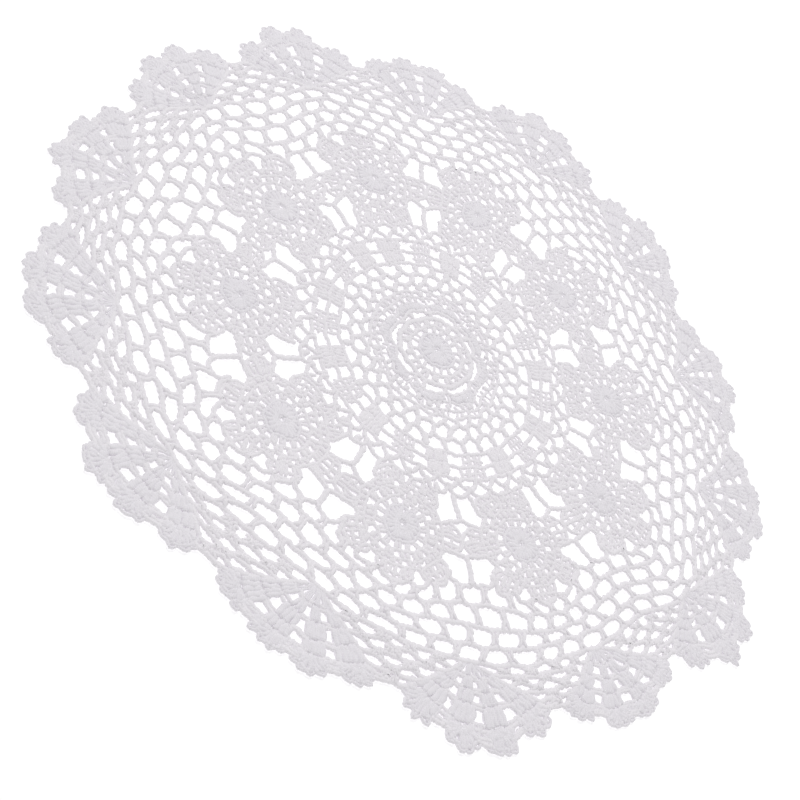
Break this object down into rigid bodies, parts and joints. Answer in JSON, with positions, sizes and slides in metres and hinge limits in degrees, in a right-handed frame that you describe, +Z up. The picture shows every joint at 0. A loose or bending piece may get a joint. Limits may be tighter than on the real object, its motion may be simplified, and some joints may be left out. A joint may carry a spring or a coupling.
{
  "type": "crocheted lace doily",
  "caption": "Round crocheted cotton doily with a medallion, a ring of flowers, an open net and a scalloped edge, lying flat.",
  "frame": {"origin": "middle of the doily's box, on the surface that it lies on", "axes": "+Z up through the doily's thickness; X and Y in the plane of the doily"},
  "size_m": [0.375, 0.3758, 0.002],
  "materials": {
    "doily": "matt white crochet cotton"
  },
  "bodies": {
    "root": {"doily": "doily"}
  },
  "joints": []
}
